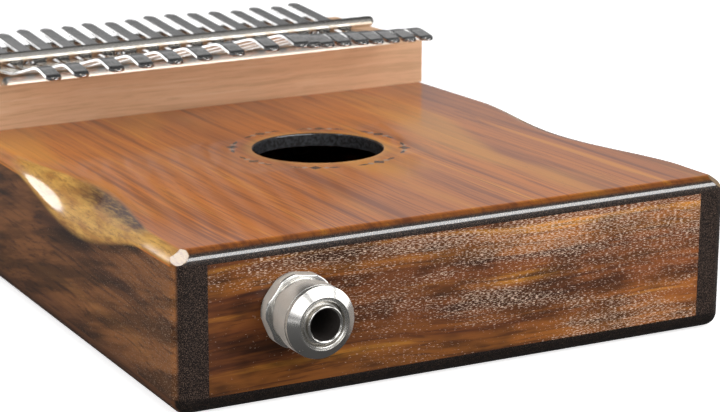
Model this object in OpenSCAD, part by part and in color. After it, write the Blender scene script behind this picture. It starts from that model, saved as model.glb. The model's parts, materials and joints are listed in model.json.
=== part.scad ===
// Seventeen-note box mbira (kalimba) with a built-in pickup and an output jack.
// Origin: centre of the sound box's underside. +X is the player's right, -Y is the player's end
// (output jack, free ends of the tines), +Z is up. Millimetres.

/* [Sound box] */
// Width of the box, side to side
body_w = 134; // [124:1:150]
// Length of the box, player's end to far end
body_l = 185; // [180:1:220]
// Height of the box
body_h = 34.8; // [32:0.1:45]
// Thickness of the top plate
top_t = 3.2; // [2.4:0.1:4]
// Thickness of the back plate
back_t = 3.6; // [2.4:0.1:5]
// Thickness of the side walls
side_t = 7.2; // [6:0.1:9]
// Thickness of the end panels, let in between the side walls
end_t = 6; // [4:0.5:8]
// Radius of the rounded outer edges
edge_r = 3.2; // [1:0.1:3.2]

/* [Sound hole] */
// Radius of the sound hole
hole_r = 15.5; // [12:0.5:20]
// Distance from the player's end to the middle of the sound hole
hole_y = 67.6; // [60:0.1:72]
// Distance of the sound hole from the box's middle line, towards the player's right
hole_x = 2; // [-3:0.5:3]

/* [Hand scoops] */
// Distance from the player's end to the deepest place of a scoop
scoop_y = 54; // [45:1:70]
// Half the length of a scoop along the edge
scoop_half = 34; // [25:1:45]
// Radius of the edge's rounding at the deepest place of a scoop
scoop_r = 10.2; // [6:0.1:11]

/* [Bridge] */
// Distance from the player's end to the front face of the bridge block
block_y = 123.5; // [110:0.5:125]
// Length of the bridge block along the box
block_l = 48; // [46:1:52]
// Width of the bridge block
block_w = 130.4; // [118:0.2:131]
// Height of the bridge block above the top plate
block_h = 11.5; // [8:0.5:16]
// Radius of the two bridge rods and of the pressure rod
rod_r = 1.5; // [1.2:0.1:1.8]
// Half the length of the bridge rods
bridge_half = 57.5; // [57:0.5:62]
// Half the length of the pressure rod
pressure_half = 62; // [58:0.5:64]
// Distance from the block's front face to the front bridge rod
front_rod_in = 1.6; // [1.6:0.1:3]
// Distance from the block's front face to the pressure rod
pressure_in = 21; // [18:0.5:24]
// Distance from the block's front face to the rear bridge rod
rear_rod_in = 41; // [38:0.5:44]

/* [Tines] */
// Distance between neighbouring tines
tine_pitch = 6.62; // [6.4:0.02:6.7]
// Width of a tine
tine_w = 4.4; // [4:0.1:4.5]
// Thickness of a tine
tine_t = 1.15; // [1:0.05:1.2]
// Reach of the longest tine's tip beyond the front bridge rod
reach = 54.6; // [50:0.2:58]
// Rise of a tine in front of the bridge, in degrees
rise = 14.8; // [10:0.1:16]
// Radius of the bend before the playing end
tip_bend_r = 8; // [5:0.5:14]
// Length of the straight playing end
tip_length = 6; // [3:0.5:8]
// Slope of the playing end, in degrees below level
tip_drop = 14; // [5:1:25]
// Reach of the middle tine's tuning end behind the pressure rod
tail_reach = 31.8; // [30:0.2:34]

/* [Output jack] */
// Distance of the jack from the box's middle, towards the player's left
jack_x = 40.2; // [30:0.2:42]
// Height of the jack's axis above the underside
jack_z = 19.9; // [16:0.1:20]
// Radius of the plug socket, for a 6.35 mm plug
socket_r = 3.3; // [3.25:0.05:3.4]

/* [Hidden] */
$fn = 96;

koa = "#9a5a26";
dark_koa = "#4a2c18";
pale_wood = "#c99f74";
steel = "#b9bbbd";
nickel = "#d2d0cb";
brass = "#c9a24a";

player_y = -body_l / 2;             // plane of the player's end
inner_w = body_w - 2 * side_t;      // between the side walls
block_top = body_h + block_h;       // seat of the rods
block_front = player_y + block_y;   // front face of the bridge block

front_rod_y = block_front + front_rod_in;
pressure_y = block_front + pressure_in;
rear_rod_y = block_front + rear_rod_in;

tine_count = 17;
middle = (tine_count - 1) / 2;
tail_floor = 0.25;                  // gap between a pressed tine and the block
step_gap = 0.05;                    // parting between a tine's clamped tail and its free tongue
touch_gap = 0.01;                   // between a tine and the rods it bears on
groove_gap = 0.02;                  // seat clearance round a rod
front_rod_lift = 0.4;               // height of the front rod's axis above the block
tail_rise = 5.75;                   // rise of the tuning ends, in degrees
front_seat = block_top + front_rod_lift + rod_r + touch_gap;   // underside of a tine at the front rod
pressed = block_top + tail_floor;                              // and at the pressure rod
rod_to_line = (tine_t / 2 + rod_r) / cos(tail_rise) + touch_gap;   // rod's axis to a tine's middle line
pressure_z = pressed + tine_t / 2 + rod_to_line;
rear_rod_z = pressed + tine_t / 2 + (rear_rod_y - pressure_y) * tan(tail_rise) - rod_to_line;

bolt_r = 1;
bolt_head_r = 2.3;
bolt_head_t = 1.6;
bolt_clear = 0.08;
bolt_slots = [-6.5, -2.5, 2.5, 6.5];   // between which tines the bolts pass, in pitches from the middle
brace_t = 6;
brace_w = 100;
brace_l = 30;

// ---- Sound box -------------------------------------------------------------------------------

// Rectangle with round corners, centred on the origin
module round_rect(w, h, r) {
    square([w - 2 * r, h], center = true);
    square([w, h - 2 * r], center = true);
    for (sx = [-1, 1], sy = [-1, 1])
        translate([sx * (w / 2 - r), sy * (h / 2 - r)]) circle(r);
}

// Cutters for the hand scoop on the right-hand edge. Wide cylinders are laid across the edge at
// several tilts, each touching the rounding that the edge has in the middle of the scoop.
module scoop_cutters() {
    for (tilt = [12, 28, 45, 62, 78]) {
        bite = sin(tilt) + cos(tilt) - 1;   // depth of a cut below the sharp corner, per radius
        sweep_r = scoop_half * scoop_half / (2 * bite * (scoop_r - edge_r));
        translate([body_w / 2, player_y + scoop_y, body_h]) rotate([0, tilt, 0])
            translate([0, 0, sweep_r - bite * scoop_r]) rotate([0, 90, 0])
                cylinder(r = sweep_r, h = 60, center = true, $fn = 256);
    }
}

// Outer form of the box: every edge rounded, both long top edges scooped for the hands
module box_form() {
    difference() {
        intersection() {
            linear_extrude(body_h) round_rect(body_w, body_l, edge_r);
            translate([0, body_l / 2, body_h / 2]) rotate([90, 0, 0])
                linear_extrude(body_l) round_rect(body_w, body_h, edge_r);
            translate([-body_w / 2, 0, body_h / 2]) rotate([90, 0, 90])
                linear_extrude(body_w) round_rect(body_l, body_h, edge_r);
        }
        scoop_cutters();
        mirror([1, 0, 0]) scoop_cutters();
    }
}

// A box of given corners
module slab(low, high) {
    translate(low) cube(high - low);
}

// The holes that the four pressure bolts pass through
module bolt_holes(low, high, r) {
    for (slot = bolt_slots)
        translate([slot * tine_pitch, pressure_y, low]) cylinder(r = r, h = high - low);
}

module top_plate() {
    color(koa) difference() {
        intersection() {
            box_form();
            slab([-body_w, -body_l, body_h - top_t], [body_w, body_l, body_h + 1]);
        }
        translate([hole_x, player_y + hole_y, body_h - top_t - 1])
            cylinder(r = hole_r, h = top_t + 2);
        bolt_holes(body_h - top_t - 1, body_h + 1, bolt_r + bolt_clear);
    }
}

module back_plate() {
    color(koa) intersection() {
        box_form();
        slab([-body_w, -body_l, -1], [body_w, body_l, back_t]);
    }
}

module side_right() {
    color(dark_koa) intersection() {
        box_form();
        slab([inner_w / 2, -body_l, back_t], [body_w, body_l, body_h - top_t]);
    }
}

module side_left() {
    mirror([1, 0, 0]) side_right();
}

module end_panel() {
    intersection() {
        box_form();
        slab([-inner_w / 2, player_y - 1, back_t], [inner_w / 2, player_y + end_t, body_h - top_t]);
    }
}

module end_panel_front() {
    color(koa) difference() {
        end_panel();
        along_jack(1, -end_t - 1) circle(barrel_r + panel_gap);
    }
}

module end_panel_rear() {
    color(koa) mirror([0, 1, 0]) end_panel();
}

// ---- Bridge ----------------------------------------------------------------------------------

// A rod across the instrument
module cross_rod(r, half, y, z) {
    translate([-half, y, z]) rotate([0, 90, 0]) cylinder(r = r, h = 2 * half);
}

// The same with hemispherical ends
module round_ended_rod(r, half, y, z) {
    cross_rod(r, half - r, y, z);
    for (side = [-1, 1]) translate([side * (half - r), y, z]) sphere(r);
}

module bridge_block() {
    color(pale_wood) difference() {
        slab([-block_w / 2, block_front, body_h], [block_w / 2, block_front + block_l, block_top]);
        round_ended_rod(rod_r + groove_gap, bridge_half + groove_gap, front_rod_y,
            block_top + front_rod_lift);
        round_ended_rod(rod_r + groove_gap, bridge_half + groove_gap, rear_rod_y, rear_rod_z);
        bolt_holes(body_h - 1, block_top + 1, bolt_r + bolt_clear);
    }
}

// Hidden strip that carries the pull of the pressure bolts
module bridge_brace() {
    color(pale_wood) difference() {
        slab([-brace_w / 2, pressure_y - brace_l / 2, body_h - top_t - brace_t],
            [brace_w / 2, pressure_y + brace_l / 2, body_h - top_t]);
        bolt_holes(body_h - top_t - brace_t - 1, body_h, bolt_r + bolt_clear);
    }
}

module front_bridge_rod() {
    color(steel) round_ended_rod(rod_r, bridge_half, front_rod_y, block_top + front_rod_lift);
}

module rear_bridge_rod() {
    color(steel) round_ended_rod(rod_r, bridge_half, rear_rod_y, rear_rod_z);
}

bolt_tip_z = pressure_z + 0.6 * rod_r;

module pressure_rod() {
    color(steel) difference() {
        round_ended_rod(rod_r, pressure_half, pressure_y, pressure_z);
        bolt_holes(pressure_z - 2 * rod_r, bolt_tip_z + groove_gap, bolt_r + groove_gap);
    }
}

module pressure_bolts() {
    head_top = body_h - top_t - brace_t;
    color(steel) for (slot = bolt_slots)
        translate([slot * tine_pitch, pressure_y, 0]) {
            translate([0, 0, head_top]) cylinder(r = bolt_r, h = bolt_tip_z - head_top);
            translate([0, 0, head_top - bolt_head_t]) cylinder(r = bolt_head_r, h = bolt_head_t, $fn = 6);
        }
}

// ---- Tines -----------------------------------------------------------------------------------
// Notes climb a major scale from the middle tine outwards, odd notes to the left, even to the right.
// A tine's pitch goes with one over its length squared, so each length is the longest one times
// 2 ^ (-semitones / 24).

scale_steps = [2, 2, 1, 2, 2, 2, 1];

function semitones(note) = note == 0 ? 0 : semitones(note - 1) + scale_steps[(note - 1) % 7];

// Note number of the tine at a place, 0 to 16 from the left
function note_at(place) = place < middle ? 2 * (middle - place) - 1 : 2 * (place - middle);

function tine_x(place) = (place - middle) * tine_pitch;

// How much longer than the pattern each tine is cut, left to right
extra_reach = [1, 0.5, 3.5, 3.5, 2, 1, 0, 1, 0.5, 0, -1, 0.5, 1, 0, 0.5, 0, 0.5];

function tine_reach(place) =
    reach * pow(2, -semitones(note_at(place)) / 24) + extra_reach[place];

// Points of a bent strip's middle line: [forward, up] from the front rod, slope turned by arcs
bend_steps = 10;
press_slope = atan((front_seat - pressed) / (pressure_in - front_rod_in));
bend_half = 2.5;                    // half the length over which a tine bends across a rod

// An arc that leaves `from` at slope `a` and arrives at slope `b` (degrees), with turning radius r.
// Positive r turns downwards.
function arc_points(from, a, b, r) = [
    for (i = [1 : bend_steps])
        let (slope = a + (b - a) * i / bend_steps)
            from + r * [sin(a) - sin(slope), cos(slope) - cos(a)]
];

function last(points) = points[len(points) - 1];

// Middle line of a free tongue, from the front rod to the tip
function tongue_line(place) =
    let (
        start = [0, tine_t / 2],
        lift = arc_points(start, (press_slope + rise) / 2, rise,
            -2 * bend_half / ((rise - press_slope) * PI / 180)),
        lift_end = last(lift),
        end = tip_length * [cos(tip_drop), -sin(tip_drop)],
        bend_length = tip_bend_r * (sin(rise) + sin(tip_drop)),
        straight = tine_reach(place) - end[0] - bend_length - lift_end[0],
        neck = lift_end + straight * [1, tan(rise)],
        bend = arc_points(neck, rise, -tip_drop, tip_bend_r)
    )
    concat([start], lift, [neck], bend, [last(bend) + end]);

// Slope of a polyline at point i, in degrees
function slope_at(line, i) =
    let (a = line[max(i - 1, 0)], b = line[min(i + 1, len(line) - 1)])
        atan2(b[1] - a[1], b[0] - a[0]);

// Closed outline of a strip of thickness t round a middle line
function strip_outline(line, t) = concat(
    [for (i = [0 : len(line) - 1])
        line[i] + t / 2 * [-sin(slope_at(line, i)), cos(slope_at(line, i))]],
    [for (i = [len(line) - 1 : -1 : 0])
        line[i] - t / 2 * [-sin(slope_at(line, i)), cos(slope_at(line, i))]]
);

// A strip across the place's X, its outline drawn forwards (-Y) and up from the front rod's seat
module strip(place, line) {
    translate([tine_x(place) + tine_w / 2, front_rod_y, front_seat])
        rotate([90, 0, -90]) linear_extrude(tine_w) polygon(strip_outline(line, tine_t));
}

tip_corner_r = 1.5;

// Plan of a tongue: square at the bridge, round-cornered at the tip
module tongue_plan(place) {
    tip_y = front_rod_y - tine_reach(place);
    translate([tine_x(place) - tine_w / 2, tip_y + tip_corner_r])
        square([tine_w, tine_reach(place) - tip_corner_r - step_gap]);
    translate([tine_x(place) - tine_w / 2 + tip_corner_r, tip_y])
        square([tine_w - 2 * tip_corner_r, tip_corner_r * 2]);
    for (side = [-1, 1])
        translate([tine_x(place) + side * (tine_w / 2 - tip_corner_r), tip_y + tip_corner_r])
            circle(tip_corner_r);
}

module tongue(place) {
    color(steel) intersection() {
        strip(place, tongue_line(place));
        translate([0, 0, block_top]) linear_extrude(40) tongue_plan(place);
    }
}

tail_shortening = 0.2;              // each tail is this much shorter than its inner neighbour
// How much longer than that each tail is cut, left to right
extra_tail = [0, 0, 0, 2, 0.5, 0.5, 1.5, 0, 0.5, 2.5, 2.5, 1.5, 1, 0, 1.5, 0.5, 2.5];

function tail_length(place) =
    tail_reach - tail_shortening * abs(place - middle) + extra_tail[place];

// Middle line of a clamped tail, from its tuning end forward to the front rod
function tail_line(place) =
    let (
        mid_z = tine_t / 2,
        pressed_at = [-(pressure_in - front_rod_in), pressed - front_seat + mid_z],
        back = tail_length(place)
    )
    [
        pressed_at + back * [-1, tan(tail_rise)],
        pressed_at + bend_half * [-1, tan(tail_rise)],
        pressed_at,
        [-bend_half, mid_z - bend_half * tan(press_slope)],
        [0, mid_z]
    ];

module tail(place) {
    end_y = pressure_y + tail_length(place);
    intersection() {
        strip(place, tail_line(place));
        translate([0, 0, block_top - 5]) linear_extrude(20) {
            translate([tine_x(place) - tine_w / 2, front_rod_y])
                square([tine_w, end_y - tine_w / 2 - front_rod_y]);
            translate([tine_x(place), end_y - tine_w / 2]) circle(tine_w / 2);
        }
    }
}

module tine_tails() {
    color(steel) for (place = [0 : tine_count - 1]) tail(place);
}

// ---- Output jack -----------------------------------------------------------------------------
// Heights along the jack's axis are measured outwards from the end panel's face.

barrel_r = 4.7;
barrel_out = 12.9;                  // front edge of the barrel
barrel_in = -10;                    // its shoulder inside the box
panel_gap = 0.1;
thread_gap = 0.02;
lip_r = 3.95;
lip_t = 1.3;
hex_nut_r = 8.9;                    // corners of the hexagon, before they are turned off
hex_nut_turned_r = 8.1;
hex_nut_t = 3;
spacer_r = 7.2;
spacer_t = 3.2;
cap_r = 7.6;
cap_face_r = 5.6;
cap_recess_r = 5;
cap_out = 12.3;
cap_groove_r = 7.05;
inner_washer_r = 7.2;
inner_washer_t = 0.8;
inner_nut_r = 6.8;
inner_nut_t = 2.2;
housing_r = 6.4;
housing_end = -27;
housing_wall = 1.5;
spring_slot_w = 4;
spring_w = 3;
spring_t = 0.4;
spring_pivot = -25;                 // the leaf spring's root along the axis
spring_pivot_r = 4.6;               // and its height above the axis

// Extrudes a plan about the jack's axis between two heights
module along_jack(out, in) {
    translate([-jack_x, player_y - out, jack_z]) rotate([-90, 0, 0]) linear_extrude(out - in)
        children();
}

// Spins a [radius, height] profile about the jack's axis
module spin_jack() {
    translate([-jack_x, player_y, jack_z]) rotate([90, 0, 0]) rotate_extrude() children();
}

module jack_barrel() {
    color(nickel) spin_jack() polygon([
        [socket_r, barrel_in],
        [barrel_r, barrel_in],
        [barrel_r, barrel_out - lip_t - 0.5],
        [lip_r + 0.3, barrel_out - lip_t],
        [lip_r, barrel_out - lip_t],
        [lip_r, barrel_out],
        [socket_r + 0.25, barrel_out],
        [socket_r, barrel_out - 0.25]
    ]);
}

module jack_hex_nut() {
    color(nickel) difference() {
        along_jack(hex_nut_t, 0) intersection() {
            rotate(8) circle(hex_nut_r, $fn = 6);
            circle(hex_nut_turned_r);
        }
        along_jack(hex_nut_t + 1, -1) circle(barrel_r + thread_gap);
    }
}

module jack_spacer() {
    color(nickel) spin_jack() translate([barrel_r + panel_gap, hex_nut_t])
        square([spacer_r - barrel_r - panel_gap, spacer_t]);
}

module jack_cap_nut() {
    back = hex_nut_t + spacer_t;
    groove = cap_out - 2.6;
    color(nickel) spin_jack() polygon([
        [barrel_r + thread_gap, back],
        [cap_r - 0.3, back],
        [cap_r, back + 0.3],
        [cap_r, groove],
        [cap_groove_r, groove],
        [cap_groove_r, groove + 0.6],
        [cap_r, groove + 0.8],
        [cap_r, groove + 1.1],
        [cap_face_r, cap_out],
        [cap_recess_r, cap_out],
        [barrel_r + thread_gap, cap_out - 1.2]
    ]);
}

module jack_inner_washer() {
    color(nickel) spin_jack() translate([barrel_r + panel_gap, -end_t - inner_washer_t])
        square([inner_washer_r - barrel_r - panel_gap, inner_washer_t]);
}

module jack_inner_nut() {
    nut_out = -end_t - inner_washer_t;
    color(nickel) difference() {
        along_jack(nut_out, nut_out - inner_nut_t) circle(inner_nut_r, $fn = 6);
        along_jack(nut_out + 1, nut_out - inner_nut_t - 1) circle(barrel_r + thread_gap);
    }
}

module jack_housing() {
    color("#202022") difference() {
        along_jack(barrel_in, housing_end) circle(housing_r);
        along_jack(barrel_in + 1, housing_end + housing_wall) circle(socket_r + 0.2);
        translate([-jack_x - spring_slot_w / 2, player_y - barrel_in + housing_wall, jack_z])
            cube([spring_slot_w, barrel_in - housing_end - 2 * housing_wall, housing_r + 1]);
    }
}

// Leaf spring that touches the plug's tip. It dips into the socket when no plug is in.
module jack_tip_spring() {
    dip = 2.4;
    color(brass) translate([-jack_x - spring_w / 2, player_y, jack_z])
        rotate([90, 0, 90]) linear_extrude(spring_w) polygon(strip_outline([
            [-spring_pivot, spring_pivot_r],
            [-spring_pivot - 5.5, spring_pivot_r - 1],
            [-spring_pivot - 7.5, dip],
            [-spring_pivot - 9, spring_pivot_r - 1.4]
        ], spring_t));
}

// ---- Pickup ----------------------------------------------------------------------------------

piezo_x = -jack_x;
piezo_y = 10;
piezo_r = 10;
piezo_t = 0.25;
ceramic_r = 7;
ceramic_t = 0.25;
under_top = body_h - top_t;

module piezo_disc() {
    color(brass) translate([piezo_x, piezo_y, under_top - piezo_t]) cylinder(r = piezo_r, h = piezo_t);
}

module piezo_ceramic() {
    color("white") translate([piezo_x, piezo_y, under_top - piezo_t - ceramic_t])
        cylinder(r = ceramic_r, h = ceramic_t);
}

cable_r = 0.9;
cable_bend_r = 6;

// Runs straight back from the jack, then bends up to the ceramic
module pickup_cable() {
    start_y = player_y - housing_end;
    top_z = under_top - piezo_t - ceramic_t;
    color("#1c1c1c") translate([piezo_x, 0, 0]) {
        translate([0, start_y, jack_z]) rotate([-90, 0, 0])
            cylinder(r = cable_r, h = piezo_y - cable_bend_r - start_y);
        translate([0, piezo_y - cable_bend_r, jack_z + cable_bend_r]) rotate([0, 90, 0])
            rotate_extrude(angle = 90) translate([cable_bend_r, 0]) circle(cable_r);
        translate([0, piezo_y, jack_z + cable_bend_r])
            cylinder(r = cable_r, h = top_z - jack_z - cable_bend_r);
    }
}

// ---- Nodes -----------------------------------------------------------------------------------

top_plate();
back_plate();
side_left();
side_right();
end_panel_front();
end_panel_rear();
bridge_block();
bridge_brace();
front_bridge_rod();
rear_bridge_rod();
pressure_rod();
pressure_bolts();
tine_tails();
tongue(0);  // tine_01
tongue(1);  // tine_02
tongue(2);  // tine_03
tongue(3);  // tine_04
tongue(4);  // tine_05
tongue(5);  // tine_06
tongue(6);  // tine_07
tongue(7);  // tine_08
tongue(8);  // tine_09
tongue(9);  // tine_10
tongue(10);  // tine_11
tongue(11);  // tine_12
tongue(12);  // tine_13
tongue(13);  // tine_14
tongue(14);  // tine_15
tongue(15);  // tine_16
tongue(16);  // tine_17
jack_barrel();
jack_hex_nut();
jack_spacer();
jack_cap_nut();
jack_inner_washer();
jack_inner_nut();
jack_housing();
jack_tip_spring();
piezo_disc();
piezo_ceramic();
pickup_cable();
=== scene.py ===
"""Looks of the seventeen-note box mbira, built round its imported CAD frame. In metres."""
import json
from math import asin, cos, hypot, pi, radians, sin, tan

import bmesh
import bpy
from mathutils import Matrix, Vector
from mathutils.bvhtree import BVHTree

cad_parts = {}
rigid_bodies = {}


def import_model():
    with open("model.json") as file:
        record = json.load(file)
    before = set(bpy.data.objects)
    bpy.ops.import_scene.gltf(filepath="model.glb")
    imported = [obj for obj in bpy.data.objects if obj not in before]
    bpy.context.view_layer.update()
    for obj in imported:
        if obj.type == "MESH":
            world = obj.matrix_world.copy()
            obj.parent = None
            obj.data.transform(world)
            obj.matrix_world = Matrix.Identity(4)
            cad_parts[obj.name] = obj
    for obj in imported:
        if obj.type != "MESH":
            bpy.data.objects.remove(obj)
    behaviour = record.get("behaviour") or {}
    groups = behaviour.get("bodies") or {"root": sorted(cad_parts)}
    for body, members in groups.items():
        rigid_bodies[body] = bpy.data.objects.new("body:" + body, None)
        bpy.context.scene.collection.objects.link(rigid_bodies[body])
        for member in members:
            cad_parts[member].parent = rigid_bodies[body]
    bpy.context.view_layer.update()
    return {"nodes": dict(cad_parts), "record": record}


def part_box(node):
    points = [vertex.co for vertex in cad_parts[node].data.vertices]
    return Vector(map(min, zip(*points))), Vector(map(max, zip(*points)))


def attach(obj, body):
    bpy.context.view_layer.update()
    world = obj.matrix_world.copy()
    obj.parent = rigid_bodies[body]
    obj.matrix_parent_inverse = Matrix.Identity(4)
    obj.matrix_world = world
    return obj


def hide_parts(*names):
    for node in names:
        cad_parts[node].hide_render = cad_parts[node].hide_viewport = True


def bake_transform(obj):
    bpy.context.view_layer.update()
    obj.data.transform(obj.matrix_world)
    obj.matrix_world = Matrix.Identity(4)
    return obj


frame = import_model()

MM = 0.001
NODES = frame["nodes"]

# ---- Places taken from the frame -----------------------------------------

BOX_LOW, BOX_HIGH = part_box("back_plate")[0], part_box("top_plate")[1]
PLAYER_Y = BOX_LOW.y
FAR_Y, HALF_W, TOP_Z = BOX_HIGH.y, BOX_HIGH.x, BOX_HIGH.z
SEAM_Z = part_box("top_plate")[0].z             # joint between the top plate and the side walls
JACK = next(m for m in frame["record"]["mounts"] if m["name"] == "jack_socket")
JACK_X, JACK_Z = JACK["pos_m"][0], JACK["pos_m"][2]
SOCKET_R = JACK["dims"]["r_mm"] * MM
TINES = sorted(name for name in NODES if name.startswith("tine_") and name != "tine_tails")

# Sizes of the sound box's shapes, as the design has them
EDGE_R = 3.2 * MM
SCOOP_Y = PLAYER_Y + 54 * MM
SCOOP_HALF = 40 * MM
SCOOP_GROWTH = 7 * MM                         # how much wider the rounding is inside a scoop
HOLE_X = 2 * MM
HOLE_Y = PLAYER_Y + 67.6 * MM
HOLE_R = 15.5 * MM
HOLE_RIM = 0.5 * MM


# ---- Shader building -----------------------------------------------------

class Shader:
    """One material's node tree, with a short call for each kind of node this script uses."""

    def __init__(self, name):
        self.material = bpy.data.materials.new(name)
        self.material.use_nodes = True
        self.tree = self.material.node_tree
        self.surface = self.tree.nodes["Principled BSDF"]
        coords = self.tree.nodes.new("ShaderNodeTexCoord")
        self.place = self.scaled(coords.outputs["Object"], 1 / MM)   # millimetres, row frame
        self.normal = coords.outputs["Normal"]

    def set(self, node, socket, value):
        target = node.inputs[socket]
        if isinstance(value, bpy.types.NodeSocket):
            self.tree.links.new(value, target)
        elif isinstance(value, (tuple, list)) and len(value) == 3 and target.type == "RGBA":
            target.default_value = (*value, 1)
        else:
            target.default_value = value

    def finish(self, **values):
        """Sets the Principled inputs, given with _ for each space."""
        for name, value in values.items():
            self.set(self.surface, name.replace("_", " "), value)
        return self.material

    def node(self, kind, **settings):
        made = self.tree.nodes.new("ShaderNode" + kind)
        for name, value in settings.items():
            setattr(made, name, value)
        return made

    def vector(self, operation, a, b):
        made = self.node("VectorMath", operation=operation)
        self.set(made, 0, a)
        self.set(made, 1, b)
        return made.outputs["Value" if operation == "LENGTH" else "Vector"]

    def scaled(self, vector, factor):
        factor = factor if isinstance(factor, (tuple, list)) else (factor,) * 3
        return self.vector("MULTIPLY", vector, factor)

    def parts(self, vector):
        made = self.node("SeparateXYZ")
        self.set(made, 0, vector)
        return made.outputs[0], made.outputs[1], made.outputs[2]

    def joined(self, x, y, z):
        made = self.node("CombineXYZ")
        for i, value in enumerate((x, y, z)):
            self.set(made, i, value)
        return made.outputs[0]

    def math(self, operation, a, b=0.0, clamp=False):
        made = self.node("Math", operation=operation, use_clamp=clamp)
        self.set(made, 0, a)
        self.set(made, 1, b)
        return made.outputs[0]

    def noise(self, vector, scale=1.0, detail=2.0, roughness=0.5):
        made = self.node("TexNoise")
        for socket, value in (("Vector", vector), ("Scale", scale), ("Detail", detail),
                              ("Roughness", roughness)):
            self.set(made, socket, value)
        return made.outputs["Fac"]

    def ramp(self, value, low, high, to_low=0.0, to_high=1.0):
        """Smooth step from to_low at low to to_high at high."""
        made = self.node("MapRange", interpolation_type="SMOOTHSTEP")
        for i, v in enumerate((value, low, high, to_low, to_high)):
            self.set(made, i, v)
        return made.outputs[0]

    def mix(self, share, a, b, blend="MIX"):
        made = self.node("Mix", data_type="RGBA", blend_type=blend)
        self.set(made, 0, share)
        self.set(made, 6, a)
        self.set(made, 7, b)
        return made.outputs[2]

    def bump(self, height, distance):
        """Distance is the height of the relief in metres."""
        made = self.node("Bump")
        for socket, value in (("Height", height), ("Distance", distance), ("Strength", 1.0)):
            self.set(made, socket, value)
        return made.outputs[0]


# ---- Wood ----------------------------------------------------------------

# Middle, second band, dark streak and bright streak of each wood
TOP_TONES = ((0.74, 0.215, 0.018), (0.56, 0.160, 0.024), (0.25, 0.060, 0.014), (0.92, 0.345, 0.024))
PANEL_TONES = ((0.24, 0.078, 0.010), (0.12, 0.034, 0.007), (0.035, 0.009, 0.004), (0.42, 0.17, 0.016))
SIDE_TONES = ((0.26, 0.098, 0.028), (0.17, 0.064, 0.022), (0.045, 0.017, 0.010), (0.38, 0.155, 0.04))
PALE_TONES = ((0.80, 0.50, 0.295), (0.76, 0.46, 0.265), (0.60, 0.345, 0.19), (0.86, 0.58, 0.37))
TOP_PATCH = (0.86, 0.37, 0.03)
TOP_FLECK = (0.2, 0.06, 0.03)
PANEL_FLECK = (0.88, 0.66, 0.50)
PANEL_MIRRORED = (0.62, 0.58, 0.54)           # greyed colour that polished parts mirror of the panel
SIDE_FLECK = (0.46, 0.30, 0.19)
END_GRAIN = (0.010, 0.006, 0.005)
END_FLECK = (0.17, 0.105, 0.072)
GOLD = (1.0, 0.56, 0.11)
GOLD_DARK = (0.66, 0.29, 0.05)
GOLD_LINE = (0.36, 0.13, 0.03)
SCOOP_SHADOW = (0.10, 0.032, 0.012)
# near-black of the burnt marks round the sound hole, and of the painted shade on the hole's wall
BURNT_AND_HOLE_SHADE = (0.020, 0.018, 0.018)
# painted shade on the sound hole's wall
HOLE_SHADE_GREY = (0.060, 0.062, 0.068)
INLAY_PALE = (0.50, 0.38, 0.30)

MARKS = 8                                     # burnt diamonds in the ring round the sound hole
MARK_RING_R = 20.5                            # mm
MARK_RING_TURN = radians(15)
PORE_DEPTH = 0.02 * MM
FLECK_SHARPNESS = 18.0


def grain_space(s, along, wave, wave_length, stretch):
    """Place in millimetres with the grain's direction shrunk, so that noise in it runs out into
    streaks, and with a slow sideways wander of the grain."""
    wander = s.math("SUBTRACT", s.noise(s.place, 1 / wave_length, 1.0), 0.5)
    wander = s.math("MULTIPLY", wander, 2 * wave)
    sideways = {"X": (0, 1, 1), "Y": (1, 0, 1)}[along]
    moved = s.vector("ADD", s.place, s.scaled(s.joined(wander, wander, wander), sideways))
    return s.scaled(moved, {"X": (stretch, 1, 1), "Y": (1, stretch, 1)}[along])


def streaks_of(s, along, tones, sizes, wave, wave_length, stretch=0.014):
    """Colour of straight-grained wood, and its hair lines on their own for the relief.
    sizes: how many bands, streaks and hairs to the millimetre; wave: how far the grain wanders
    sideways, in mm, over about wave_length."""
    middle, second, dark, bright = tones
    grain = grain_space(s, along, wave, wave_length, stretch)
    bands = s.noise(grain, sizes[0], 2.0, 0.5)
    streaks = s.noise(grain, sizes[1], 4.0, 0.62)
    hairs = s.noise(grain, sizes[2], 4.0, 0.65)
    colour = s.mix(s.ramp(bands, 0.40, 0.60), middle, second)
    colour = s.mix(s.ramp(streaks, 0.50, 0.68, 0, 0.75), colour, dark)
    colour = s.mix(s.ramp(streaks, 0.46, 0.32, 0, 0.7), colour, bright)
    colour = s.mix(s.ramp(hairs, 0.50, 0.66, 0, 0.6), colour, dark)
    return colour, hairs


def shaded(s, colour, shade):
    """Multiplies the colour by a number."""
    return s.mix(1.0, colour, s.joined(shade, shade, shade), "MULTIPLY")


def flecked(s, colour, along, density, tone, share, size):
    """Adds short pore flecks along the grain. density: 0 none to 1 many, may be a socket.
    share: how much of the tone a fleck takes; size: how finely they repeat along and across it."""
    stretch = {"X": (size[0], size[1], size[1]), "Y": (size[1], size[0], size[1])}[along]
    cells = s.noise(s.scaled(s.place, stretch), 1.9, 1.5, 0.6)
    threshold = s.ramp(density, 0, 1, 0.72, 0.52)
    marks = s.math("MULTIPLY", s.math("SUBTRACT", cells, threshold), FLECK_SHARPNESS, clamp=True)
    return s.mix(s.math("MULTIPLY", marks, share), colour, tone)


def lacquered(s, colour, relief, coat_roughness):
    """Wood under a clear gloss coat."""
    return s.finish(Base_Color=colour, Roughness=0.5, Normal=s.bump(relief, PORE_DEPTH),
                    Specular_IOR_Level=0.15, Coat_Weight=1.0, Coat_Roughness=coat_roughness,
                    Coat_IOR=1.5)


def end_grain(s, colour, sharpness=(0.50, 0.76)):
    """Near-black, finely speckled colour where a surface cuts across grain that runs along Y."""
    cut = s.ramp(s.math("ABSOLUTE", s.parts(s.normal)[1]), *sharpness)
    speck = s.noise(s.place, 6.5, 1.0, 0.5)
    dark = s.mix(s.ramp(speck, 0.56, 0.65), END_GRAIN, END_FLECK)
    return s.mix(cut, colour, dark)


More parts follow.
